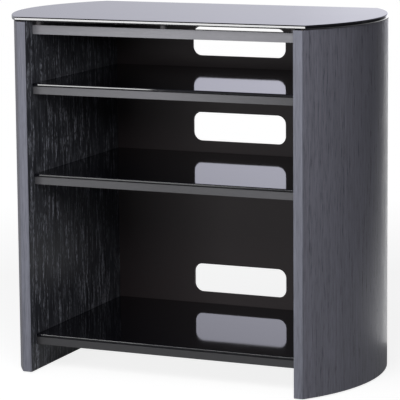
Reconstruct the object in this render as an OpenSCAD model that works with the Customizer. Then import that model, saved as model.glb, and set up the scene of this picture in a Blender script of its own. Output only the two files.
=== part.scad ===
// Stand for a television and its equipment: two hollow columns with bowed outer sides carry
// three boards, a glass shelf on each board, and a glass top on rails.
// X runs across the front, Y to the back, Z up. The origin is on the floor, mid width and mid depth.

/* [Columns] */
// Clear width between the two columns
bay_w = 554; // [480:1:640]
// Depth of a column, front face to back face
column_d = 430; // [400:1:470]
// Height of a column above its glides
column_h = 693; // [640:1:760]
// Width of the flat front face of a column
face_w = 18; // [16:0.5:24]
// How far the bowed side stands out past its front and back corners
bow = 74; // [60:1:95]
// Thickness of the flat inner panel
inner_t = 12; // [11:0.5:14]
// Thickness of the bent outer panel
outer_t = 6; // [4:0.5:8]
// Thickness of the bands that close the front and back edges
band_t = 2; // [1:0.5:3]
// Depth of the corner post inside each end
post_d = 30; // [20:1:45]
// Distance from an edge band to the corner post
post_inset = 8; // [6:1:14]
// Thickness of the ribs that hold the bow
rib_t = 15; // [12:0.5:19]
// Glue line between the bent panel and the ribs and posts
glue_gap = 0.2; // [0.1:0.05:0.4]

/* [Boards] */
// Thickness of the bottom board and the shelf boards
board_t = 15; // [14:0.5:18]
// Underside of the bottom board above the feet of the columns
bottom_up = 52; // [40:1:80]
// Underside of the lower shelf board above the feet of the columns
lower_up = 371.5; // [320:0.5:400]
// Underside of the upper shelf board below the tops of the columns
upper_down = 143.5; // [135:0.5:170]
// Distance from the column faces back to the bottom board
bottom_setback = 22.5; // [10:0.5:40]
// Distance from the column faces back to the shelf boards
shelf_setback = 29.5; // [26:0.5:50]
// Thickness of the strip that covers a board's front edge
lipping_t = 1; // [0.5:0.1:1.5]

/* [Top rails] */
// Height of the two rails under the top
rail_h = 18; // [16:0.5:24]
// Depth of a rail
rail_d = 15; // [15:0.5:20]
// Distance from the column faces back to the front rail
rail_setback = 31; // [20:1:50]
// Height of the buffers that carry the top on the rails
buffer_h = 9.5; // [6:0.5:15]
// Diameter of a buffer
buffer_dia = 14; // [10:0.5:14.5]
// Distance from a column to the centre of the nearest buffer
buffer_side = 11; // [9:0.5:30]
// Distance from a rail's outer edge to the centre of its buffers
buffer_inset = 7.5; // [7.5:0.25:8]
// Diameter of the stem that holds a buffer in its rail
stem_dia = 6; // [4:0.5:7]
// Length of the stem
stem_l = 5; // [4:0.5:5.5]

/* [Glass] */
// Thickness of the top glass
top_t = 8; // [6:0.5:12]
// Distance from the column faces back to the top glass
top_setback = 2; // [0:0.5:6]
// Distance from the columns' back faces forward to the top glass, which leaves a way for cables
top_back_gap = 18; // [2:1:30]
// Overhang of the top glass past the front corners of the columns
top_over = 5; // [1:0.5:8]
// How much less than the columns the ends of the top glass bow out
top_bow_less = 1; // [0:0.5:3]
// Thickness of a shelf glass
shelf_glass_t = 5; // [4:0.5:8]
// Distance from the column faces back to the upper and lower shelf glass
glass_setback = 24.5; // [20:0.5:40]
// Gap between a shelf glass and the column beside it
glass_side_gap = 1; // [0.5:0.1:2]
// Gap between a shelf glass and the back panel
glass_back_gap = 2; // [1:0.5:5]
// Width of the ground bevel along a glass edge
arris = 0.8; // [0.4:0.1:1.2]

/* [Pads and glides] */
// Height of the pads between the columns and the top glass
top_pad_t = 1; // [0.5:0.1:2]
// Height of the pads under the upper and lower shelf glass
shelf_pad_t = 1.5; // [1:0.1:3]
// Height of the pads under the bottom glass
bottom_pad_t = 1; // [0.5:0.1:2]
// Diameter of a pad
pad_dia = 10; // [8:0.5:11]
// Distance from the edges of a shelf glass to the centres of its pads
pad_inset = 35; // [20:1:60]
// Height of a glide under a column
glide_h = 2.5; // [1.5:0.5:4]
// Diameter of a glide
glide_dia = 20; // [16:1:24]
// Diameter of the nail that holds a glide
nail_dia = 2; // [1.5:0.1:3]
// Length of the nail
nail_l = 11; // [8:0.5:11.5]

/* [Back panel] */
// Thickness of the back panel
back_t = 6; // [4:0.5:9]
// Distance from the columns' back faces forward to the back panel
back_inset = 15; // [10:1:20]
// Gap between the back panel and the column beside it
back_gap = 2; // [0.5:0.1:3]
// Width of a cable window
window_w = 206; // [120:1:300]
// Height of a cable window
window_h = 60; // [40:1:65]
// Corner radius of a cable window
window_r = 18; // [6:1:19]
// Height of a window's lower edge above the glass in front of it
window_up = 23; // [10:1:24]

/* [Fixings] */
// Diameter of a cam disc
cam_dia = 15; // [12:0.5:18]
// Height of a cam disc
cam_h = 12; // [11:0.5:13]
// Distance from a board's end to the centre of a cam disc
cam_reach = 24; // [22:1:34]
// Height of the cam bolts and dowels above the underside of their board
fixing_up = 7.5; // [7:0.25:8]
// Distance from a board's front and back edges to its cams
cam_inset = 72; // [64:1:100]
// Diameter of the smaller cam disc in the end of a rail
rail_cam_dia = 12; // [10:0.5:12]
// Distance from a rail's outer edge to its cams
rail_cam_in = 8; // [7.75:0.25:8.5]
// Diameter of a cam bolt's thread
thread_dia = 5; // [4:0.5:6]
// Length of a cam bolt's thread
thread_l = 9; // [7:0.5:10]
// Diameter of a cam bolt's shank
shank_dia = 6; // [5:0.5:7]
// Diameter of a cam bolt's neck
neck_dia = 3; // [2.5:0.1:4]
// Diameter of a cam bolt's head
head_dia = 6; // [5:0.5:6.5]
// Length of a cam bolt's head
head_l = 2.5; // [2:0.1:3.5]
// Diameter of a dowel
dowel_dia = 8; // [6:0.5:9]
// Length of a dowel inside its board
dowel_in = 20; // [14:1:22]
// Length of a dowel inside the inner panel
dowel_out = 9; // [7:0.5:9.5]
// Distance from a board's front and back edges to its dowels
dowel_inset = 40; // [30:1:48]
// Gap round a peg, bolt, dowel or cam in its bore
bore_gap = 0.1; // [0.05:0.01:0.2]
// Gap past the end of a peg, bolt or dowel in a blind bore
end_gap = 0.5; // [0.2:0.1:0.9]
// Diameter of a back panel screw
screw_dia = 3.5; // [3:0.1:4]
// Length of a back panel screw
screw_l = 18; // [14:0.5:20]
// Diameter of a screw's head
screw_head_dia = 7; // [6:0.1:8]
// Distance from a column to the nearest back panel screw
screw_side = 45; // [40:1:80]

/* [Hidden] */
$fn = 48;
// Number of sides of the wide curves
bow_fn = 360;
// Length by which a cutting solid runs past the face that it cuts
past = 1;

// The bow is the arc through a column's front corner, its widest point and its back corner
bow_r = (pow(column_d / 2, 2) + pow(bow, 2)) / (2 * bow);
face_y = column_d / 2;
inner_x = bay_w / 2;
apex_x = inner_x + face_w + bow;
bow_x = apex_x - bow_r;
hollow_x = inner_x + inner_t;
band_y = face_y - band_t;
post_y = band_y - post_inset;
rib_y = post_y - post_d;

// Heights
foot_z = glide_h;
bottom_z = foot_z + bottom_up;
lower_z = foot_z + lower_up;
column_top = foot_z + column_h;
upper_z = column_top - upper_down;
top_z = column_top + top_pad_t;
rail_top = top_z - buffer_h;
rail_z = rail_top - rail_h;
bottom_glass_z = bottom_z + board_t + bottom_pad_t;
lower_glass_z = lower_z + board_t + shelf_pad_t;
upper_glass_z = upper_z + board_t + shelf_pad_t;

// Depths: the boards and the back rail end at the back panel
back_y = face_y - back_inset;
board_back = back_y - back_t;
bottom_front = -face_y + bottom_setback;
shelf_front = -face_y + shelf_setback;
glass_front = -face_y + glass_setback;
glass_back = board_back - glass_back_gap;
// The ends of the top glass are arcs through its front corner, its widest point and its back corner
top_front = -face_y + top_setback;
top_back = face_y - top_back_gap;
top_half = (top_back - top_front) / 2;
top_bow = bow - top_bow_less;
top_r = (pow(top_half, 2) + pow(top_bow, 2)) / (2 * top_bow);
top_end = inner_x + face_w + top_over + top_bow;
// Each rail is its outer edge and the direction from there to the middle of the stand
front_rail = [-face_y + rail_setback, 1];
back_rail = [board_back, -1];

// Ribs, from the bottom of the column to its top
rib_zs = [foot_z, foot_z + (column_h - rib_t) / 2, column_top - rib_t];

// Places on top of a column and under it, for three pads and three glides
column_pad_end = rib_y * 0.85;
column_pad_out = apex_x - outer_t - pad_dia;
glide_end = rib_y * 0.85;
glide_end_x = hollow_x + glide_dia * 0.75;
glide_out = apex_x - outer_t - glide_dia;

// Depth of the recess for the driver in a cam disc
cross_deep = 1.5;
// Slot in a cam disc for the neck of its bolt, and pocket for the head
slot_w = neck_dia + 1;
pocket_w = head_dia + 1;
// Depth of the cone under a screw's head
sink_h = (screw_head_dia - screw_dia) / 2;

black_oak = [0.17, 0.17, 0.19];
edge_grey = [0.45, 0.46, 0.50];
raw_board = [0.52, 0.43, 0.32];
black_glass = [0.06, 0.06, 0.07];
back_brown = [0.11, 0.09, 0.09];
zinc = [0.70, 0.70, 0.72];
beech = [0.76, 0.60, 0.42];
nylon = [0.12, 0.12, 0.13];
buffer_grey = [0.24, 0.23, 0.24];
clear_pad = [0.80, 0.82, 0.84];

// A board, rail and their fixings: where the fixings sit along the depth, and the underside
function cam_ys(front) = [front + cam_inset, board_back - cam_inset];
function dowel_ys(front) = [front + dowel_inset, board_back - dowel_inset];
function rail_y(rail, inset) = rail[0] + rail[1] * inset;
rail_cam_ys = [rail_y(front_rail, rail_cam_in), rail_y(back_rail, rail_cam_in)];

module on_side(side) {
    mirror([side < 0 ? 1 : 0, 0, 0]) children();
}

module on_both_sides() {
    for (side = [-1, 1]) on_side(side) children();
}

// A cylinder along X that starts at x and ends at x_end
module bar_x(x, x_end, y, z, dia) {
    translate([x, y, z]) rotate([0, 90, 0]) cylinder(d = dia, h = x_end - x);
}

// What lies inside the radius r of the bow, beyond the plane x and between two depths
module bow_slice(r, x, y_from, y_to, z, h) {
    intersection() {
        translate([bow_x, 0, z]) cylinder(r = r, h = h, $fn = bow_fn);
        translate([x, y_from, z]) cube([apex_x - x + past, y_to - y_from, h]);
    }
}

// Blind bores in an inner panel for one row of cam bolts and dowels
module panel_bores(cams, dowels, z) {
    for (y = cams) {
        bar_x(inner_x - past, inner_x + thread_l + end_gap, y, z + fixing_up, thread_dia + 2 * bore_gap);
    }
    for (y = dowels) {
        bar_x(inner_x - past, inner_x + dowel_out + end_gap, y, z + fixing_up, dowel_dia + 2 * bore_gap);
    }
}

// Bores in both ends of a board for its cam discs, cam bolts and dowels
module board_bores(cams, disc, dowels, z) {
    on_both_sides() {
        for (y = cams) {
            bar_x(inner_x - cam_reach, inner_x + past, y, z + fixing_up, shank_dia + 2 * bore_gap);
            translate([inner_x - cam_reach, y, z - past])
                cylinder(d = disc + 2 * bore_gap, h = cam_h + bore_gap + past);
        }
        for (y = dowels) {
            bar_x(inner_x - dowel_in - end_gap, inner_x + past, y, z + fixing_up, dowel_dia + 2 * bore_gap);
        }
    }
}

// Pilot bores in the back edge of a board of thickness t for the back panel's screws
module screw_bores(z, t) {
    for (side = [-1, 0, 1]) {
        translate([side * (inner_x - screw_side), back_y - screw_l - end_gap, z + t / 2])
            rotate([-90, 0, 0]) cylinder(d = screw_dia + 2 * bore_gap, h = screw_l);
    }
}

module inner_panel(side) {
    color(black_oak) on_side(side) difference() {
        translate([inner_x, -band_y, foot_z]) cube([inner_t, 2 * band_y, column_h]);
        panel_bores(cam_ys(bottom_front), dowel_ys(bottom_front), bottom_z);
        panel_bores(cam_ys(shelf_front), dowel_ys(shelf_front), lower_z);
        panel_bores(cam_ys(shelf_front), dowel_ys(shelf_front), upper_z);
        panel_bores(rail_cam_ys, [], rail_z);
    }
}

module bowed_panel(side) {
    color(black_oak) on_side(side) difference() {
        bow_slice(bow_r, hollow_x, -band_y, band_y, foot_z, column_h);
        translate([bow_x, 0, foot_z - past])
            cylinder(r = bow_r - outer_t, h = column_h + 2 * past, $fn = bow_fn);
    }
}

module post(side, end) {
    color(raw_board) on_side(side) mirror([0, end < 0 ? 0 : 1, 0])
        bow_slice(bow_r - outer_t - glue_gap, hollow_x, -post_y, -rib_y, foot_z, column_h);
}

module rib(side, z) {
    color(raw_board) on_side(side) difference() {
        bow_slice(bow_r - outer_t - glue_gap, hollow_x, -rib_y, rib_y, z, rib_t);
        if (z == foot_z) {
            glide_places() translate([0, 0, foot_z - past])
                cylinder(d = nail_dia + 2 * bore_gap, h = nail_l + end_gap + past);
        }
    }
}

module edge_band(side, end) {
    color(edge_grey) on_side(side) mirror([0, end < 0 ? 0 : 1, 0])
        bow_slice(bow_r, inner_x, -face_y, -band_y, foot_z, column_h);
}

module glide_places() {
    for (end = [-1, 1]) translate([glide_end_x, end * glide_end, 0]) children();
    translate([glide_out, 0, 0]) children();
}

module glides(side) {
    color(nylon) on_side(side) glide_places() {
        cylinder(d = glide_dia, h = glide_h);
        cylinder(d = nail_dia, h = glide_h + nail_l);
    }
}

// A board between the columns, behind its lipping
module board(front, z) {
    color(black_oak) difference() {
        translate([-inner_x, front + lipping_t, z]) cube([bay_w, board_back - front - lipping_t, board_t]);
        board_bores(cam_ys(front), cam_dia, dowel_ys(front), z);
        screw_bores(z, board_t);
    }
}

module lipping(front, z, h) {
    color(edge_grey) translate([-inner_x, front, z]) cube([bay_w, lipping_t, h]);
}

// Places of the buffers along a rail
module buffer_places(rail) {
    for (side = [-1, 0, 1]) {
        translate([side * (inner_x - buffer_side), rail_y(rail, buffer_inset), rail_top]) children();
    }
}

// The front rail's outer edge is covered by its lipping, the back rail's by the back panel
module rail(place, cover) {
    y_ends = [rail_y(place, cover), rail_y(place, rail_d)];
    color(black_oak) difference() {
        translate([-inner_x, min(y_ends), rail_z]) cube([bay_w, rail_d - cover, rail_h]);
        board_bores([rail_y(place, rail_cam_in)], rail_cam_dia, [], rail_z);
        buffer_places(place) translate([0, 0, -stem_l - end_gap])
            cylinder(d = stem_dia + 2 * bore_gap, h = stem_l + end_gap + past);
        if (place == back_rail) screw_bores(rail_z, rail_h);
    }
}

module buffers(place) {
    color(buffer_grey) buffer_places(place) {
        cylinder(d = buffer_dia, h = buffer_h);
        translate([0, 0, -stem_l]) cylinder(d = stem_dia, h = stem_l + buffer_h / 2);
    }
}

// A cam bolt is screwed into the inner panel, and its head ends in the cam disc
module cam_bolts(cams, disc, z) {
    shank_end = disc / 2 + end_gap;
    color(zinc) on_both_sides() for (y = cams) {
        bar_x(inner_x, inner_x + thread_l, y, z + fixing_up, thread_dia);
        bar_x(inner_x - cam_reach + shank_end, inner_x, y, z + fixing_up, shank_dia);
        bar_x(inner_x - cam_reach, inner_x - cam_reach + shank_end, y, z + fixing_up, neck_dia);
        bar_x(inner_x - cam_reach - head_l / 2, inner_x - cam_reach + head_l / 2, y, z + fixing_up, head_dia);
    }
}

// A cam disc fills its bore from the underside of the board and grips the head of its bolt
module cam_discs(cams, disc, z) {
    cross_l = disc / 2;
    cross_w = disc / 10;
    color(zinc) on_both_sides() for (y = cams) translate([inner_x - cam_reach, y, z]) difference() {
        cylinder(d = disc, h = cam_h);
        translate([-pocket_w / 2, -pocket_w / 2, fixing_up - pocket_w / 2]) cube([pocket_w, pocket_w, pocket_w]);
        translate([0, -slot_w / 2, fixing_up - slot_w / 2]) cube([disc, slot_w, slot_w]);
        for (turn = [0, 90]) {
            rotate([0, 0, turn]) translate([-cross_l / 2, -cross_w / 2, -past])
                cube([cross_l, cross_w, cross_deep + past]);
        }
    }
}

module dowels(places, z) {
    color(beech) on_both_sides() for (y = places) {
        bar_x(inner_x - dowel_in, inner_x + dowel_out, y, z + fixing_up, dowel_dia);
    }
}

// A rounded window cut through the back panel, above a glass whose top is at z
module cable_window(z) {
    half_w = window_w / 2 - window_r;
    translate([0, board_back - past, z + window_up + window_r]) {
        for (x = [-half_w, half_w], up = [0, window_h - 2 * window_r]) {
            translate([x, 0, up]) rotate([-90, 0, 0]) cylinder(r = window_r, h = back_t + 2 * past);
        }
        translate([-half_w, 0, -window_r]) cube([2 * half_w, back_t + 2 * past, window_h]);
        translate([-window_w / 2, 0, 0]) cube([window_w, back_t + 2 * past, window_h - 2 * window_r]);
    }
}

// Middles of the boards and of the back rail, where the back panel is screwed on
screw_zs = [for (z = [bottom_z, lower_z, upper_z]) z + board_t / 2, rail_z + rail_h / 2];

// Places of the back panel's screws: the axis runs forwards from the back face
module screw_places() {
    for (z = screw_zs, side = [-1, 0, 1]) {
        translate([side * (inner_x - screw_side), back_y, z]) rotate([90, 0, 0]) children();
    }
}

module back_panel() {
    color(back_brown) difference() {
        translate([-inner_x + back_gap, board_back, bottom_z])
            cube([bay_w - 2 * back_gap, back_t, rail_top - bottom_z]);
        for (z = [bottom_glass_z, lower_glass_z, upper_glass_z]) cable_window(z + shelf_glass_t);
        screw_places() {
            translate([0, 0, -past]) cylinder(d = screw_dia + 2 * bore_gap, h = back_t + 2 * past);
            cylinder(d1 = screw_head_dia + 2 * bore_gap, d2 = screw_dia + 2 * bore_gap, h = sink_h);
        }
    }
}

module back_panel_screws() {
    color(zinc) screw_places() difference() {
        union() {
            cylinder(d1 = screw_head_dia, d2 = screw_dia, h = sink_h);
            cylinder(d = screw_dia, h = screw_l);
        }
        for (turn = [0, 90]) {
            rotate([0, 0, turn]) translate([-screw_dia / 2, -screw_dia / 8, -past])
                cube([screw_dia, screw_dia / 4, past + sink_h]);
        }
    }
}

// Six pads on a board under its glass
module glass_pads(front, z, h) {
    color(clear_pad) for (side = [-1, 0, 1], y = [front + pad_inset, glass_back - pad_inset]) {
        translate([side * (inner_x - glass_side_gap - pad_inset), y, z + board_t]) cylinder(d = pad_dia, h = h);
    }
}

// Section of a glass sheet across its depth, with a bevel along each edge
module glass_section(front, back, t) {
    polygon([
        [front + arris, 0], [back - arris, 0], [back, arris], [back, t - arris],
        [back - arris, t], [front + arris, t], [front, t - arris], [front, arris]
    ]);
}

module shelf_glass(front, z) {
    color(black_glass) translate([0, 0, z]) rotate([90, 0, 90])
        linear_extrude(height = bay_w - 2 * glass_side_gap, center = true)
            glass_section(front, glass_back, shelf_glass_t);
}

// Pads on the straight inner panel and on the top rib, level with each other
module column_top_pads() {
    color(clear_pad) on_both_sides() {
        for (end = [-1, 1]) {
            translate([inner_x + inner_t / 2, end * column_pad_end, column_top])
                cylinder(d = pad_dia, h = top_pad_t);
        }
        translate([column_pad_out, 0, column_top]) cylinder(d = pad_dia, h = top_pad_t);
    }
}

// Half of the top: straight along the front and back, with an arc for its end
module top_glass_half() {
    intersection() {
        translate([top_end - top_r, (top_front + top_back) / 2, 0]) rotate_extrude($fn = bow_fn) polygon([
            [0, 0], [top_r - arris, 0], [top_r, arris],
            [top_r, top_t - arris], [top_r - arris, top_t], [0, top_t]
        ]);
        translate([-past, 0, 0]) rotate([90, 0, 90])
            linear_extrude(height = top_end + 2 * past) glass_section(top_front, top_back, top_t);
    }
}

module top_glass() {
    color(black_glass) translate([0, 0, top_z]) on_both_sides() top_glass_half();
}

inner_panel(-1);  // left_inner_panel
inner_panel(1);  // right_inner_panel
bowed_panel(-1);  // left_bowed_panel
bowed_panel(1);  // right_bowed_panel
post(-1, -1);  // left_front_post
post(1, -1);  // right_front_post
post(-1, 1);  // left_back_post
post(1, 1);  // right_back_post
rib(-1, rib_zs[0]);  // left_bottom_rib
rib(1, rib_zs[0]);  // right_bottom_rib
rib(-1, rib_zs[1]);  // left_middle_rib
rib(1, rib_zs[1]);  // right_middle_rib
rib(-1, rib_zs[2]);  // left_top_rib
rib(1, rib_zs[2]);  // right_top_rib
edge_band(-1, -1);  // left_front_band
edge_band(1, -1);  // right_front_band
edge_band(-1, 1);  // left_back_band
edge_band(1, 1);  // right_back_band
glides(-1);  // left_glides
glides(1);  // right_glides
board(bottom_front, bottom_z);  // bottom_board
board(shelf_front, lower_z);  // lower_shelf_board
board(shelf_front, upper_z);  // upper_shelf_board
lipping(bottom_front, bottom_z, board_t);  // bottom_lipping
lipping(shelf_front, lower_z, board_t);  // lower_shelf_lipping
lipping(shelf_front, upper_z, board_t);  // upper_shelf_lipping
rail(front_rail, lipping_t);  // top_front_rail
rail(back_rail, 0);  // top_back_rail
lipping(front_rail[0], rail_z, rail_h);  // front_rail_lipping
cam_bolts(cam_ys(bottom_front), cam_dia, bottom_z);  // bottom_cam_bolts
cam_bolts(cam_ys(shelf_front), cam_dia, lower_z);  // lower_shelf_cam_bolts
cam_bolts(cam_ys(shelf_front), cam_dia, upper_z);  // upper_shelf_cam_bolts
cam_bolts(rail_cam_ys, rail_cam_dia, rail_z);  // rail_cam_bolts
cam_discs(cam_ys(bottom_front), cam_dia, bottom_z);  // bottom_cam_discs
cam_discs(cam_ys(shelf_front), cam_dia, lower_z);  // lower_shelf_cam_discs
cam_discs(cam_ys(shelf_front), cam_dia, upper_z);  // upper_shelf_cam_discs
cam_discs(rail_cam_ys, rail_cam_dia, rail_z);  // rail_cam_discs
dowels(dowel_ys(bottom_front), bottom_z);  // bottom_dowels
dowels(dowel_ys(shelf_front), lower_z);  // lower_shelf_dowels
dowels(dowel_ys(shelf_front), upper_z);  // upper_shelf_dowels
back_panel();
back_panel_screws();
glass_pads(bottom_front, bottom_z, bottom_pad_t);  // bottom_glass_pads
glass_pads(shelf_front, lower_z, shelf_pad_t);  // lower_glass_pads
glass_pads(shelf_front, upper_z, shelf_pad_t);  // upper_glass_pads
shelf_glass(bottom_front, bottom_glass_z);  // bottom_glass
shelf_glass(glass_front, lower_glass_z);  // lower_shelf_glass
shelf_glass(glass_front, upper_glass_z);  // upper_shelf_glass
buffers(front_rail);  // front_rail_buffers
buffers(back_rail);  // back_rail_buffers
column_top_pads();
top_glass();
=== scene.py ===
import math

import bmesh
import bpy
from mathutils import Matrix, Vector


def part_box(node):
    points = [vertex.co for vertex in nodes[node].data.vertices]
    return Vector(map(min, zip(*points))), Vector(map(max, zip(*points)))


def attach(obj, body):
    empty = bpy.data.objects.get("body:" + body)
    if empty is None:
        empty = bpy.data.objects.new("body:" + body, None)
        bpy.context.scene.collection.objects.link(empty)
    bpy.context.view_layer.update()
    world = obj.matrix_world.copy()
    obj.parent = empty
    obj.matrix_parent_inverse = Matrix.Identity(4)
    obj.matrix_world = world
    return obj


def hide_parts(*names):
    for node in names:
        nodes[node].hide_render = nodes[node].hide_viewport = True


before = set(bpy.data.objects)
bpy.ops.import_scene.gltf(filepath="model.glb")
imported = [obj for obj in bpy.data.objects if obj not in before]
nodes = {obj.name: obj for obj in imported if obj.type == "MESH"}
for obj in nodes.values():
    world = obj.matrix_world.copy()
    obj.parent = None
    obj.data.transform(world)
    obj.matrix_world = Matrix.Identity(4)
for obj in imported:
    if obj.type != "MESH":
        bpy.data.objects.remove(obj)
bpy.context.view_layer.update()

# The room: a pale floor and white surroundings. A wide softbox lights the front, a lamp the right side,
# and strips low on the left shine in the straight front edges of the glass.
# Eyes, gloss and clear parts see the white, and the floor still takes the stand's shadow.


class Tone:
    """One value or colour of a finish. Sums of tones add Math nodes, and node() adds any other node."""

    def __init__(self, tree, socket=None):
        self.tree, self.socket = tree, socket

    def node(self, kind, settings, inputs, output=0):
        made = self.tree.nodes.new(kind)
        for name, value in settings.items():
            if name != "stops":
                setattr(made, name, value)
                continue
            for i, (place, colour) in enumerate(value):
                stop = made.color_ramp.elements[i] if i < 2 else made.color_ramp.elements.new(place)
                stop.position, stop.color = place, (*colour, 1)
        for name, value in inputs.items():
            if isinstance(value, Tone):
                self.tree.links.new(value.socket, made.inputs[name])
            else:
                made.inputs[name].default_value = value
        return Tone(self.tree, made.outputs[output] if len(made.outputs) else None)

    def maths(self, operation, *terms):
        return self.node("ShaderNodeMath", {"operation": operation}, dict(enumerate(terms)))

    def split(self, axes="XYZ"):
        return [self.node("ShaderNodeSeparateXYZ", {}, {0: self}, axis) for axis in axes]

    def join(self, *pieces):
        joined = self.tree.nodes.new("GeometryNodeJoinGeometry")
        for piece in pieces:
            self.tree.links.new(piece.socket, joined.inputs[0])
        return Tone(self.tree, joined.outputs[0])

    def __add__(self, other):
        return self.maths("ADD", self, other)

    def __sub__(self, other):
        return self.maths("SUBTRACT", self, other)

    def __rsub__(self, other):
        return self.maths("SUBTRACT", other, self)

    def __mul__(self, other):
        return self.maths("MULTIPLY", self, other)

    def __truediv__(self, other):
        return self.maths("DIVIDE", self, other)

    def __pow__(self, other):
        return self.maths("POWER", self, other)

    def __gt__(self, other):
        return self.maths("GREATER_THAN", self, other)

    __radd__, __rmul__ = __add__, __mul__


def seen_directly(tone, gloss):
    """1 for eyes and clear parts, gloss for mirrored rays, 0 for light that bounces about."""
    eye, mirrored, clear = (tone.node("ShaderNodeLightPath", {}, {}, f"Is {ray} Ray")
                            for ray in ("Camera", "Glossy", "Transmission"))
    return tone.maths("MAXIMUM", tone.maths("MAXIMUM", eye, clear), mirrored * gloss)


def blend(tone, share, first, second, way="MIX"):
    """From one colour to another; a colour is three numbers or a link."""
    ends = [colour if isinstance(colour, Tone) else (*colour, 1) for colour in (first, second)]
    return tone.node("ShaderNodeMix", {"data_type": "RGBA", "blend_type": way}, {0: share, 6: ends[0], 7: ends[1]}, 2)


def step(tone, value, low, high):
    """A smooth rise from 0 at low to 1 at high."""
    return tone.node("ShaderNodeMapRange", {"interpolation_type": "SMOOTHSTEP"}, {0: value, 1: low, 2: high})


def ramp(tone, value, stops):
    """Colours over a value; a stop is a place from 0 to 1 and a colour."""
    return tone.node("ShaderNodeValToRGB", {"stops": stops}, {0: value})


def all_round(tone, heading, blue, stops):
    """Brightness by heading in degrees: 0 is to the right, 90 behind and -90 in front. Blue tints it."""
    return ramp(tone, heading, [((angle + 180) / 360, (pale, pale, blue * pale)) for angle, pale in stops])


world = bpy.data.worlds.new("studio")
bpy.context.scene.world = world
world.use_nodes = True
world.node_tree.nodes.clear()
tone = Tone(world.node_tree)
across, depth, height = tone.node("ShaderNodeTexCoord", {}, {}, "Generated").split()
heading = tone.maths("ARCTAN2", depth, across) * (0.5 / math.pi) + 0.5
# How bright gloss sees the walls low down and higher up, and below how much of the room's light comes
# from each side.
low_walls = all_round(tone, heading, 1.08, (
    (-180, 0.5), (-130, 0.75), (-95, 0.75), (-60, 0.35), (-15, 0.06), (72, 0.05), (84, 0.3), (92, 2.1),
    (105, 2.1), (111, 0.8), (120, 0.6), (180, 0.5)))
high_walls = all_round(tone, heading, 1.17, (
    (-180, 0.55), (-95, 0.5), (0, 0.4), (80, 0.4), (100, 0.55), (107, 0.72), (110, 0.88), (112, 0.84),
    (115, 0.745), (119, 0.69), (140, 0.6), (180, 0.55)))
walls = blend(tone, step(tone, height, 0.03, 0.13), low_walls, high_walls)
ceiling = ramp(tone, height * 0.5 + 0.5, [(0.60, (1, 1, 1)), (0.78, (0.10, 0.10, 0.11))])
mirrored = blend(tone, 1.0, walls, ceiling, "MULTIPLY")
shown = blend(tone, tone.node("ShaderNodeLightPath", {}, {}, "Is Camera Ray"), mirrored, (1, 1, 1))
room_light = 0.21
sides = all_round(tone, heading, 1.0, (
    (-180, 1), (-60, 1.25), (-30, 1), (10, 0.1), (85, 0.1), (110, 1), (180, 1)))
surround = tone.node("ShaderNodeBackground", {}, {"Color": (0.95, 0.96, 1, 1), "Strength": room_light * sides})
white = tone.node("ShaderNodeBackground", {}, {"Color": shown, "Strength": 1.0})
tone.node("ShaderNodeOutputWorld", {}, {"Surface": tone.node(
    "ShaderNodeMixShader", {}, {0: seen_directly(tone, 1.0), 1: surround, 2: white})})


def new_finish(name):
    """An empty material, its Tone and the place on the piece that its patterns follow."""
    finish = bpy.data.materials.new(name)
    finish.use_nodes = True
    finish.node_tree.nodes.clear()
    tone = Tone(finish.node_tree)
    return finish, tone, tone.node("ShaderNodeTexCoord", {}, {}, "Object")


floor_reach = 6
floor_mesh = bpy.data.meshes.new("floor")
floor_mesh.from_pydata([(floor_reach * x, floor_reach * y, 0) for x, y in ((-1, -1), (1, -1), (1, 1), (-1, 1))],
                       [], [(0, 1, 2, 3)])
floor = bpy.data.objects.new("floor", floor_mesh)
bpy.context.scene.collection.objects.link(floor)
floor_finish, tone, place = new_finish("pale_floor")
across, depth = place.split("XY")
# Gloss sees the floor glow only behind the stand, a painted pool of light that fades out to the left and to the
# right.
lit_from, left_reach, left_least, right_reach = 0.3, 0.6, 0.2, 1.15
behind = depth > lit_from
left_part = tone.maths("MAXIMUM", 2.0 * across + depth + left_reach, left_least)
lit = behind * tone.node("ShaderNodeClamp", {}, {0: tone.maths("MINIMUM", right_reach - across, left_part)})
front_gloss, floor_glow, far_glow, mirrored_glow = 0.15, 0.84, 0.1, 1.4
away = (across * across + depth * depth) ** 0.5
shine = mirrored_glow * lit * tone.node("ShaderNodeLightPath", {}, {}, "Is Glossy Ray")
fading = tone.node("ShaderNodeClamp", {}, {0: far_glow * away - far_glow, 2: far_glow})
glow = tone.node("ShaderNodeEmission", {}, {"Color": (1, 1, 1, 1), "Strength": floor_glow + shine + fading})
pale, shaded = (tone.node("ShaderNodeBsdfDiffuse", {}, {"Color": (*colour, 1)})
                for colour in ((0.62, 0.62, 0.63), (0.35, 0.35, 0.35)))
tone.node("ShaderNodeOutputMaterial", {}, {"Surface": tone.node("ShaderNodeMixShader", {}, {
    0: seen_directly(tone, front_gloss - front_gloss * behind + lit), 1: pale,
    2: tone.node("ShaderNodeAddShader", {}, {0: glow, 1: shaded})})})
floor_mesh.materials.append(floor_finish)

for name, place, aim, width, depth, power in (
        ("front_softbox", (0.32, -1.3, 1.05), (0, -0.2, 0.6), 1.0, 0.5, 11.3),
        ("right_lamp", (2.3, -0.25, 1.45), (0.3, 0, 0.5), 1.1, 1.2, 2),
        ("top_edge_strip", (-0.86, -2.25, 0.53), (0, -0.2, 0.62), 1.1, 0.22, 13),
        ("shelf_edge_strip", (-1.25, -2.25, 0.3), (-0.16, -0.2, 0.45), 0.5, 0.16, 3.3),
        ("low_edge_strip", (-0.93, -2.25, 0.035), (0, -0.2, 0.3), 1.0, 0.05, 0.5)):
    lamp = bpy.data.lights.new(name, "AREA")
    lamp.shape, lamp.size, lamp.size_y, lamp.energy = "RECTANGLE", width, depth, power
    holder = bpy.data.objects.new(name, lamp)
    bpy.context.scene.collection.objects.link(holder)
    holder.location = place
    holder.rotation_euler = (Vector(aim) - Vector(place)).to_track_quat("-Z", "Y").to_euler()
    holder.visible_camera = False
    holder.visible_glossy = name.endswith("strip")

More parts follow.
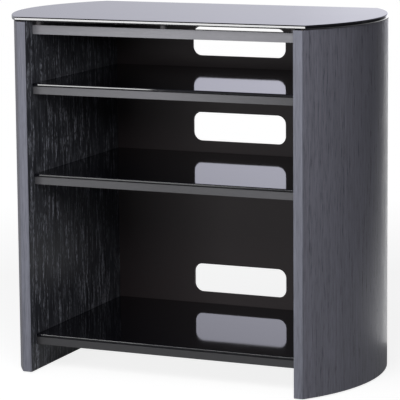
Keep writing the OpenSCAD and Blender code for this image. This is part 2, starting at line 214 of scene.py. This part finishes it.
# The camera: more than four metres away, to the right of the stand and above it. It has a long lens that
# is shifted downwards, and looks slightly down on the top glass.
eye_place = (1.75107, -4.03084, 1.07748)
turn, dip, tilt = (math.radians(angle) for angle in (23.53, 8.38, -0.48))
ahead = Vector((-math.sin(turn) * math.cos(dip), math.cos(turn) * math.cos(dip), -math.sin(dip)))
right = Vector((math.cos(turn), math.sin(turn), 0))
looking = Matrix((right, right.cross(ahead), -ahead)).transposed() @ Matrix.Rotation(tilt, 3, "Z")
camera = bpy.data.objects.new("camera", bpy.data.cameras.new("camera"))
bpy.context.scene.collection.objects.link(camera)
camera.matrix_world = Matrix.Translation(eye_place) @ looking.to_4x4()
camera.data.sensor_width, camera.data.lens, camera.data.shift_y = 36, 201.465, -0.125
bpy.context.scene.camera = camera
bpy.context.scene.view_settings.view_transform = "Standard"


# Posts and ribs: the frame inside each column, sawn from pale solid wood and glued to the panels.
# Only the ends of the posts and the lowest rib can be seen, from below.


def stretched(tone, place, scale, detail=3.0, twist=0.0):
    """Noise with its own scale along each axis."""
    spread = tone.node("ShaderNodeMapping", {}, {"Vector": place, "Scale": scale})
    return tone.node("ShaderNodeTexNoise", {}, {
        "Vector": spread, "Scale": 1.0, "Detail": detail, "Roughness": 0.6, "Distortion": twist})


def along_grain(axis, across, lengthwise):
    """A noise scale across the grain on two axes and along it on the third."""
    scale = [across] * 3
    scale[axis] = lengthwise
    return scale


def times(colour, factor):
    """A colour made lighter or darker."""
    return tuple(min(part * factor, 1) for part in colour)


def surface(finish, tone, colour, rough, height, depth, strength=0.4, **steady):
    """Closes a finish: its colour, gloss and relief, and what stays the same all over."""
    relief = tone.node("ShaderNodeBump", {}, {"Strength": strength, "Distance": depth, "Height": height})
    inputs = {"Base Color": colour, "Roughness": rough, "Normal": relief}
    inputs.update({name.replace("_", " "): value for name, value in steady.items()})
    tone.node("ShaderNodeOutputMaterial", {}, {"Surface": tone.node("ShaderNodeBsdfPrincipled", {}, inputs)})
    return finish


def dress(finish, *names):
    """Gives CAD pieces a finish and leaves their shape."""
    for name in names:
        nodes[name].data.materials.clear()
        nodes[name].data.materials.append(finish)


def sawn_wood(name, axis, colour):
    """Bare wood with year rings and fibres along an axis."""
    finish, tone, place = new_finish(name)
    years = tone.node("ShaderNodeTexWave", {"wave_type": "BANDS", "bands_direction": "Y"}, {
        "Vector": tone.node("ShaderNodeMapping", {}, {"Vector": place, "Scale": along_grain(axis, 1, 0.05)}),
        "Scale": 60.0, "Distortion": 6.0, "Detail": 2.0, "Detail Scale": 1.5}, "Fac")
    fibre = stretched(tone, place, along_grain(axis, 700, 20))
    tint = blend(tone, 0.5 * years + 0.5 * fibre, times(colour, 0.72), times(colour, 1.15))
    return surface(finish, tone, tint, 0.72 + 0.1 * fibre, fibre, depth=0.0003)


frame_wood = sawn_wood("sawn_frame_wood", axis=2, colour=(0.46, 0.34, 0.21))
dress(frame_wood, *[f"{side}_{piece}" for side in ("left", "right") for piece in
                    ("front_post", "back_post", "bottom_rib", "middle_rib", "top_rib")])

# Inner panels: straight and flat, with black-stained open-pored oak veneer. The pores show as pale
# dashes in wavy rows that run upright, on a nearly black ground.


def open_oak(name, axis, ground, pore, tooth=1.0):
    """Veneer with rows of pale open pores; axis is the grain's."""
    finish, tone, place = new_finish(name)
    rows = stretched(tone, place, along_grain(axis, 62, 3.2), detail=2.0, twist=0.8)
    clusters = stretched(tone, place, along_grain(axis, 240, 22), twist=0.15)
    dashes = stretched(tone, place, along_grain(axis, 560, 105), detail=2.0, twist=0.1)
    lines = step(tone, stretched(tone, place, along_grain(axis, 230, 12), detail=2.0, twist=0.4), 0.36, 0.64)
    threads = stretched(tone, place, along_grain(axis, 900, 30), detail=2.0)
    open_rows = step(tone, rows, 0.38, 0.60)
    pores = step(tone, clusters, 0.50, 0.60) * step(tone, dashes, 0.42, 0.58) * (0.3 + 0.7 * open_rows)
    body = blend(tone, 0.6 * lines + 0.4 * threads, times(ground, 0.35), times(ground, 1.65))
    tint = blend(tone, pores * (0.5 + 0.5 * threads), body, pore)
    return surface(finish, tone, tint, 0.46 + 0.2 * pores, 0.3 * threads - 1.0 * pores,
                   depth=0.0005, strength=0.35 * tooth)


upright_oak = open_oak("black_oak_upright", axis=2, ground=(0.033, 0.035, 0.042), pore=(0.50, 0.515, 0.585))
dress(upright_oak, "left_inner_panel", "right_inner_panel")

# Bowed panels: thin board bent to an arc between the front and back edges, with straight-grained black
# veneer outside. Each is swept along its arc, and its two ends are trimmed square to the stand's front.


def straight_oak(name, ground, pore, gloss, tooth=0.3):
    """Veneer with fine straight upright streaks."""
    finish, tone, place = new_finish(name)
    streaks = step(tone, stretched(tone, place, along_grain(2, 240, 6), detail=2.0, twist=0.3), 0.25, 0.75)
    threads = stretched(tone, place, along_grain(2, 560, 32))
    cloud = stretched(tone, place, along_grain(2, 11, 0.9), detail=2.0, twist=0.4)
    pores = step(tone, threads, 0.36, 0.5)
    body = blend(tone, 0.3 * streaks + 0.2 * cloud + 0.5 * threads, times(ground, 0.45), times(ground, 1.6))
    tint = blend(tone, 0.35 - 0.35 * pores, body, pore)
    rough = gloss + 0.12 * (streaks - 0.5) + 0.1 * pores
    return surface(finish, tone, tint, rough, 0.6 * streaks + 0.3 * threads - 0.5 * pores,
                   depth=0.0004, strength=tooth, Specular_Tint=(0.88, 0.9, 1.0, 1.0))


def built(name, tree, values, places=((0, 0, 0),)):
    """Runs a geometry tree on a few points and keeps the result as a plain mesh."""
    seed = bpy.data.meshes.new(name + "_places")
    seed.from_pydata(places, [], [])
    draft = bpy.data.objects.new(name + "_draft", seed)
    bpy.context.scene.collection.objects.link(draft)
    modifier = draft.modifiers.new("build", "NODES")
    modifier.node_group = tree
    sockets = {item.name: item.identifier for item in tree.interface.items_tree if item.in_out == "INPUT"}
    for label, value in values.items():
        modifier[sockets[label]] = value
    ready = draft.evaluated_get(bpy.context.evaluated_depsgraph_get())
    mesh = bpy.data.meshes.new_from_object(ready)
    mesh.name = name
    draft.modifiers.clear()
    bpy.data.objects.remove(draft)
    return shown_piece(name, mesh)


def shown_piece(name, mesh, sharp=30):
    """Puts a mesh in the scene, smooth but for edges sharper than an angle in degrees."""
    mesh.shade_smooth()
    mesh.set_sharp_from_angle(angle=math.radians(sharp))
    piece = bpy.data.objects.new(name, mesh)
    bpy.context.scene.collection.objects.link(piece)
    return piece


def new_tree(name, sizes):
    """An empty geometry tree with named sizes, and its Tone, whose first socket is the seed points."""
    tree = bpy.data.node_groups.new(name, "GeometryNodeTree")
    tree.interface.new_socket("Places", in_out="INPUT", socket_type="NodeSocketGeometry")
    for label in sizes:
        tree.interface.new_socket(label, in_out="INPUT", socket_type="NodeSocketFloat")
    tree.interface.new_socket("Finish", in_out="INPUT", socket_type="NodeSocketMaterial")
    tree.interface.new_socket("Piece", in_out="OUTPUT", socket_type="NodeSocketGeometry")
    tone = Tone(tree)
    entry = tree.nodes.new("NodeGroupInput")
    return tree, tone, {socket.name: Tone(tree, socket) for socket in entry.outputs if socket.name}


def finish_tree(tone, geometry, inputs):
    """Closes a geometry tree: real mesh, with the finish that it was given."""
    real = tone.node("GeometryNodeRealizeInstances", {}, {0: geometry})
    painted = tone.node("GeometryNodeSetMaterial", {}, {"Geometry": real, "Material": inputs["Finish"]})
    tone.node("NodeGroupOutput", {}, {0: painted})


bent_tree, tone, sizes = new_tree("bent_panel", ["Radius", "Thickness", "Half Angle", "Height", "Foot", "Middle",
                                                 "Trim", "Turn"])
arc = tone.node("GeometryNodeCurveArc", {"mode": "RADIUS"}, {
    "Resolution": 97, "Radius": sizes["Radius"] - 0.5 * sizes["Thickness"],
    "Start Angle": -1.0 * sizes["Half Angle"], "Sweep Angle": 2.0 * sizes["Half Angle"]})
section = tone.node("GeometryNodeCurvePrimitiveQuadrilateral", {"mode": "RECTANGLE"}, {
    0: sizes["Thickness"], 1: sizes["Height"]})
upright = tone.node("GeometryNodeSetCurveNormal", {"mode": "Z_UP"}, {0: arc})
swept = tone.node("GeometryNodeCurveToMesh", {}, {0: upright, 1: section, "Fill Caps": True})
place = tone.node("GeometryNodeInputPosition", {}, {})
across, depth, level = place.split()
held = tone.maths("MAXIMUM", tone.maths("MINIMUM", depth, sizes["Trim"]), -1.0 * sizes["Trim"])
trimmed = tone.node("GeometryNodeSetPosition", {}, {0: swept, "Position": tone.node("ShaderNodeCombineXYZ", {}, {
    0: across + sizes["Middle"], 1: held, 2: level + sizes["Foot"] + 0.5 * sizes["Height"]})})
finish_tree(tone, tone.node("GeometryNodeTransform", {}, {
    0: trimmed, "Rotation": tone.node("ShaderNodeCombineXYZ", {}, {2: sizes["Turn"]})}), sizes)

# Painted sheen: the bowed veneer's ground is set far lighter and bluer than the inner panels' black veneer, for the
# light that the bowed faces catch.
bow_oak = straight_oak("black_oak_bowed", ground=(0.143, 0.142, 0.171), pore=(0.049, 0.049, 0.060), gloss=0.29)
column_low, column_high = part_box("right_bowed_panel")
half_depth = column_high.y
bow_out = 0.074
face_half = 0.215
bow_radius = (face_half ** 2 + bow_out ** 2) / (2 * bow_out)
board_thick = 0.006
for side, turned in (("right", 0.0), ("left", math.pi)):
    piece = built(side + "_bent_panel", bent_tree, {
        "Radius": bow_radius, "Thickness": board_thick,
        "Half Angle": math.asin(half_depth / (bow_radius - board_thick)), "Height": column_high.z - column_low.z,
        "Foot": column_low.z, "Middle": column_high.x - bow_radius, "Trim": half_depth, "Turn": turned,
        "Finish": bow_oak})
    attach(piece, "cabinet")
    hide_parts(side + "_bowed_panel")

# Edge bands: thin strips glued over the front and back edges of each column, stained black like the panels; their
# greyer colour is painted sheen, the light that the front edges catch. Their long corners are eased with fine paper.


def welded(name):
    """The mesh of a CAD piece to work on, with its doubled corners joined."""
    form = bmesh.new()
    form.from_mesh(nodes[name].data)
    bmesh.ops.remove_doubles(form, verts=form.verts, dist=1e-6)
    return form


def eased(name, new_name, finish, width):
    """A copy of a CAD piece with its sharp corners rounded off by width; its faces stay flat."""
    flat_angle, corner_angle = math.radians(0.4), math.radians(25)
    form = welded(name)
    bmesh.ops.dissolve_limit(form, angle_limit=flat_angle, verts=form.verts, edges=form.edges)
    corners = [edge for edge in form.edges if len(edge.link_faces) == 2 and edge.calc_face_angle() > corner_angle]
    bmesh.ops.bevel(form, geom=corners, offset=width, offset_type="OFFSET", segments=3, profile=0.5,
                    affect="EDGES", clamp_overlap=True)
    bmesh.ops.recalc_face_normals(form, faces=form.faces)
    mesh = bpy.data.meshes.new(new_name)
    form.to_mesh(mesh)
    form.free()
    mesh.materials.append(finish)
    piece = shown_piece(new_name, mesh)
    for face in mesh.polygons:
        face.use_smooth = max(abs(part) for part in face.normal) < 0.999
    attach(piece, "cabinet")
    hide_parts(name)
    return piece


# Painted sheen: the band's ground is set greyer and bluer than the panels' black veneer.
band_oak = straight_oak("band_oak", ground=(0.143, 0.146, 0.175), pore=(0.080, 0.080, 0.095), gloss=0.45, tooth=0.15)
for side in ("left", "right"):
    for end in ("front", "back"):
        eased(f"{side}_{end}_band", f"{side}_{end}_edge_band", band_oak, width=0.0005)

# Glides: three black nylon discs under each column, each with a nail driven into the lowest rib.
# They keep the veneer off the floor.


def solids_of(name):
    """Lowest and highest corner of each separate solid of a CAD piece."""
    form = welded(name)
    waiting, boxes = set(form.verts), []
    while waiting:
        reached, island = [waiting.pop()], []
        while reached:
            corner = reached.pop()
            island.append(corner.co.copy())
            linked = {edge.other_vert(corner) for edge in corner.link_edges} & waiting
            waiting -= linked
            reached += linked
        boxes.append([Vector([pick(point[axis] for point in island) for axis in range(3)]) for pick in (min, max)])
    form.free()
    return sorted(boxes, key=lambda box: tuple(box[0]))


peg_tree, tone, sizes = new_tree("peg_row", ["Head Radius", "Head Height", "Easing", "Pin Radius", "Pin Length",
                                             "Pin Middle"])
head = tone.node("GeometryNodeMeshCylinder", {}, {
    "Vertices": 40, "Side Segments": 5, "Radius": sizes["Head Radius"], "Depth": sizes["Head Height"]})
place = tone.node("GeometryNodeInputPosition", {}, {})
across, depth, level = place.split()
share = level / sizes["Head Height"]
# Above and below the middle the cylinder has three rings: the rim, one that rounds it off, and the side.
rim = tone.maths("ABSOLUTE", share) > 0.45
rounding_ring = (tone.maths("ABSOLUTE", share) > 0.25) * (1.0 - rim)
side_ring = 1.0 - rim - rounding_ring
rounding = 0.3
half_head = 0.5 * sizes["Head Height"]
easing_share = sizes["Easing"] / sizes["Head Radius"]
narrowed = 1.0 - rim * easing_share - rounding_ring * rounding * easing_share
shifted = tone.maths("SIGN", share) * (
    rim * half_head + rounding_ring * (half_head - rounding * sizes["Easing"])
    + side_ring * (half_head - sizes["Easing"]))
turned_head = tone.node("GeometryNodeSetPosition", {}, {0: head, "Position": tone.node("ShaderNodeCombineXYZ", {}, {
    0: across * narrowed, 1: depth * narrowed, 2: shifted + half_head})})
pin = tone.node("GeometryNodeTransform", {}, {0: tone.node("GeometryNodeMeshCylinder", {}, {
    "Vertices": 24, "Radius": sizes["Pin Radius"], "Depth": sizes["Pin Length"]}),
    "Translation": tone.node("ShaderNodeCombineXYZ", {}, {2: sizes["Pin Middle"]})})
shortest_pin = 0.0001
chosen_pin = tone.node("GeometryNodeSwitch", {"input_type": "GEOMETRY"}, {
    "Switch": sizes["Pin Length"] > shortest_pin, "True": pin})
peg = tone.join(turned_head, chosen_pin)
rows = tone.node("GeometryNodeInstanceOnPoints", {}, {"Points": sizes["Places"], "Instance": peg})
finish_tree(tone, rows, sizes)


def pegs(name, new_name, finish, head, easing, pin=(0.0, 0.0, 0.0), level=None):
    """Turned pegs in the places of a CAD piece's solids: head (radius, height), pin (radius, length, middle)."""
    places = [((low.x + high.x) / 2, (low.y + high.y) / 2, low.z if level is None else level)
              for low, high in solids_of(name)]
    piece = built(new_name, peg_tree, {
        "Head Radius": head[0], "Head Height": head[1], "Easing": easing, "Pin Radius": pin[0],
        "Pin Length": pin[1], "Pin Middle": pin[2], "Finish": finish}, places)
    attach(piece, "cabinet")
    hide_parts(name)


def moulded(name, colour, rough, grain, speck=0.1, **steady):
    """Moulded plastic or rubber with a fine cast texture."""
    finish, tone, place = new_finish(name)
    cast = stretched(tone, place, [grain] * 3)
    worn = stretched(tone, place, [45] * 3, detail=2.0)
    tint = blend(tone, 0.5 * cast + 0.5 * worn, times(colour, 1 - speck * 2), times(colour, 1 + speck * 2))
    return surface(finish, tone, tint, rough + 0.16 * (worn - 0.5), cast, depth=0.0001, strength=0.3, **steady)


nylon = moulded("black_nylon", (0.022, 0.022, 0.024), rough=0.5, grain=2600)
for side in ("left", "right"):
    pegs(side + "_glides", side + "_glide_discs", nylon, head=(0.010, 0.0025), easing=0.0007,
         pin=(0.001, 0.011, 0.008))

# Cam bolts, cam discs and dowels: the zinc-plated bolts are screwed into the inner panels, and the discs
# turn in bores under the boards and rails and pull them tight. Beech dowels keep the boards from twisting.


def plated_steel(name):
    """Bright metal with crystals of zinc and fine scratches."""
    finish, tone, place = new_finish(name)
    spangle = tone.node("ShaderNodeTexVoronoi", {}, {"Vector": place, "Scale": 900.0}, "Distance")
    scratch = stretched(tone, place, along_grain(2, 2400, 160), detail=2.0)
    film = stretched(tone, place, [130] * 3)
    tint = blend(tone, film, (0.52, 0.54, 0.60), (0.76, 0.75, 0.70))
    return surface(finish, tone, tint, 0.26 + 0.18 * scratch + 0.1 * spangle, 0.5 * scratch + 0.5 * spangle,
                   depth=0.00008, Metallic=1.0)


zinc = plated_steel("zinc_plated_steel")
dress(zinc, *[f"{row}_cam_{part}" for row in ("bottom", "lower_shelf", "upper_shelf", "rail")
              for part in ("bolts", "discs")])
beech = sawn_wood("beech", axis=0, colour=(0.62, 0.42, 0.26))
dress(beech, "bottom_dowels", "lower_shelf_dowels", "upper_shelf_dowels")

# Boards and rails: flat boards with black-stained oak veneer on both sides, clamped between the columns.
# Their grain runs across the stand, and their pores are darker than those of the uprights.

flat_oak = open_oak("black_oak_flat", axis=0, ground=(0.036, 0.038, 0.043), pore=(0.12, 0.12, 0.13), tooth=0.7)
dress(flat_oak, "bottom_board", "lower_shelf_board", "upper_shelf_board", "top_front_rail", "top_back_rail")

# Lippings: thin strips glued along the front edges of the boards and the front rail, then eased. Their grey is
# painted sheen, lighter than the black veneer, and each row's shade is painted light: palest at the rail and darkest
# at the bottom.


def lipping_oak(name, *painted_light_shades):
    """Grey oak with one shade at the left end, one in the middle and one at the right end: painted light, rising and
    falling along the row.
    """
    finish, tone, place = new_finish(name)
    bay_width = 0.554
    along = (place.split("X")[0] + bay_width / 2) / bay_width
    painted_light_ramp = ramp(tone, along, [(i / 2, times((1, 0.99, 1.07), shade)) for i, shade in enumerate(painted_light_shades)])
    flecks = stretched(tone, place, along_grain(0, 260, 60), twist=0.5)
    threads = stretched(tone, place, along_grain(0, 900, 18), detail=2.0)
    cloud = stretched(tone, place, along_grain(0, 30, 9), detail=2.0)
    wear = blend(tone, 0.35 * flecks + 0.35 * threads + 0.3 * cloud, (0.66, 0.66, 0.66), (1.34, 1.34, 1.34))
    tint = blend(tone, 1.0, painted_light_ramp, wear, "MULTIPLY")
    return surface(finish, tone, tint, 0.5 + 0.12 * (threads - 0.5), 0.5 * flecks + 0.5 * threads,
                   depth=0.0003, strength=0.15)


# Painted light: the rail's shades are palest and the bottom's darkest, as the light falls off towards the floor, and
# each row is lighter or darker along its length where the light on it rises and falls.
for row, new_name, painted_light_shades in (("front_rail", "rail_edge_strip", (0.180, 0.222, 0.184)),
                              ("upper_shelf", "upper_shelf_edge_strip", (0.089, 0.116, 0.043)),
                              ("lower_shelf", "lower_shelf_edge_strip", (0.067, 0.051, 0.067)),
                              ("bottom", "bottom_edge_strip", (0.026, 0.024, 0.027))):
    eased(row + "_lipping", new_name, lipping_oak(row + "_lipping_oak", *painted_light_shades), width=0.0005)

# Back panel: thin dark brown hardboard with a rounded cable window above each shelf, held by countersunk
# screws. Its side edges are moved out over the clearance beside them, so that it closes to the columns.

finish, tone, place = new_finish("brown_black_hardboard")
felt = stretched(tone, place, [420] * 3, detail=4.0, twist=0.6)
fibre = stretched(tone, place, along_grain(2, 90, 700), detail=2.0)
cloud = stretched(tone, place, [5] * 3)
board_tint = blend(tone, 0.4 * felt + 0.3 * fibre + 0.3 * cloud, (0.018, 0.0135, 0.0145), (0.033, 0.026, 0.027))
hardboard = surface(finish, tone, board_tint, 0.6 + 0.15 * felt, 0.7 * felt + 0.3 * fibre,
                    depth=0.0002, strength=0.3)
board = eased("back_panel", "back_board", hardboard, width=0.0004)
side_edge_from, clearance_closed = 0.27, 0.0018
for corner in board.data.vertices:
    if abs(corner.co.x) > side_edge_from:
        corner.co.x += math.copysign(clearance_closed, corner.co.x)
dress(zinc, "back_panel_screws")

# Buffers: moulded studs of grey rubber, which carry the top glass along its front and back. Each has a
# round head and a thinner stem that is pushed into a hole in the rail.

rubber = moulded("grey_rubber", (0.085, 0.080, 0.085), rough=0.62, grain=1800)
buffer_height = 0.0095
for end in ("front", "back"):
    rail_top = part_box(end + "_rail_buffers")[1].z - buffer_height
    pegs(end + "_rail_buffers", end + "_buffer_studs", rubber,
         head=(0.007, buffer_height), easing=0.0009, pin=(0.003, 0.0075, -0.00125), level=rail_top)

# Pads: small discs of clear soft plastic, stamped out and stuck to the boards and to the column tops.
# The glass lies on them, so that it doesn't slide or touch the veneer.

clear_pad = moulded("clear_pad", (0.72, 0.74, 0.76), rough=0.22, grain=900, speck=0.05,
                    Transmission_Weight=0.7, IOR=1.42)
for name in ("bottom_glass", "lower_glass", "upper_glass", "column_top"):
    low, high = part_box(name + "_pads")
    pegs(name + "_pads", name + "_pad_discs", clear_pad, head=(0.005, high.z - low.z), easing=0.0003)

# Shelf glass and top glass: black tempered sheets. Their edges are ground flat between two rounded
# bevels and polished, so that a bright line runs along the front. Each is loose and can be slid or lifted out.


def black_glass(name):
    """Polished black glass, faintly smeared and with a little dust."""
    finish, tone, place = new_finish(name)
    smear = stretched(tone, place, along_grain(1, 6, 3), twist=1.2)
    dust = step(tone, stretched(tone, place, [700] * 3, detail=2.0), 0.66, 0.8)
    tint = blend(tone, 0.12 * dust, (0.0045, 0.0045, 0.0065), (0.2, 0.2, 0.21))
    rough = 0.035 + 0.03 * smear + 0.1 * dust
    return surface(finish, tone, tint, rough, smear, depth=0.00001, strength=0.05, IOR=1.52)


def inset(outline, distance):
    """The outline moved inwards; it turns to the left all the way round."""
    count = len(outline)
    moved = []
    for i, (x, y) in enumerate(outline):
        normals = []
        for a, b in ((outline[i - 1], outline[i]), (outline[i], outline[(i + 1) % count])):
            length = math.hypot(b[0] - a[0], b[1] - a[1])
            normals.append(((a[1] - b[1]) / length, (b[0] - a[0]) / length))
        (ax, ay), (bx, by) = normals
        reach = distance / (1 + ax * bx + ay * by)
        moved.append((x + reach * (ax + bx), y + reach * (ay + by)))
    return moved


def glass_sheet(name, new_name, body, outline, low, high, low_bevel, high_bevel, finish):
    """A sheet over an outline, whose edge is flat between two rounded bevels."""
    steps = 6
    rounding = [(1 - math.sin(turn), 1 - math.cos(turn)) for turn in (
        math.pi / 2 * i / steps for i in range(steps + 1))]
    levels = ([(low_bevel * back, low + low_bevel * rise) for back, rise in rounding]
              + [(high_bevel * back, high - high_bevel * rise) for back, rise in reversed(rounding)])
    form = bmesh.new()
    rings = [[form.verts.new((x, y, z)) for x, y in inset(outline, back)] for back, z in levels]
    for lower, upper in zip(rings, rings[1:]):
        for i in range(len(outline)):
            j = (i + 1) % len(outline)
            form.faces.new((lower[i], lower[j], upper[j], upper[i]))
    caps = [form.faces.new(tuple(reversed(rings[0]))), form.faces.new(tuple(rings[-1]))]
    mesh = bpy.data.meshes.new(new_name)
    form.faces.index_update()
    flat = {cap.index for cap in caps}
    form.to_mesh(mesh)
    form.free()
    mesh.materials.append(finish)
    piece = shown_piece(new_name, mesh, sharp=35)
    for face in mesh.polygons:
        face.use_smooth = face.index not in flat
    # The flat stays sharp against its bevels, so that it mirrors as a flat.
    for edge in mesh.edges:
        first, second = (corner // len(outline) for corner in edge.vertices)
        if first == second and first in (steps, steps + 1):
            edge.use_edge_sharp = True
    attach(piece, body)
    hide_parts(name)


glass = black_glass("black_glass")
for row in ("bottom", "lower_shelf", "upper_shelf"):
    low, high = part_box(row + "_glass")
    corners = [(low.x, low.y), (high.x, low.y), (high.x, high.y), (low.x, high.y)]
    glass_sheet(row + "_glass", row + "_sheet", row + "_glass", corners, low.z, high.z,
                low_bevel=0.0016, high_bevel=0.0016, finish=glass)

low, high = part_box("top_glass")
corner_x = 0.300
half = (high.y - low.y) / 2
out = high.x - corner_x
end_radius = (half ** 2 + out ** 2) / (2 * out)
spread = math.asin(half / end_radius)
end_steps = 72
right_end = [(high.x - end_radius + end_radius * math.cos(spread * (2 * i / end_steps - 1)),
              (low.y + high.y) / 2 + end_radius * math.sin(spread * (2 * i / end_steps - 1)))
             for i in range(end_steps + 1)]
left_end = [(-x, y) for x, y in reversed(right_end)]
glass_sheet("top_glass", "top_sheet", "top_glass", right_end + left_end, low.z, high.z,
            low_bevel=0.0026, high_bevel=0.0020, finish=glass)
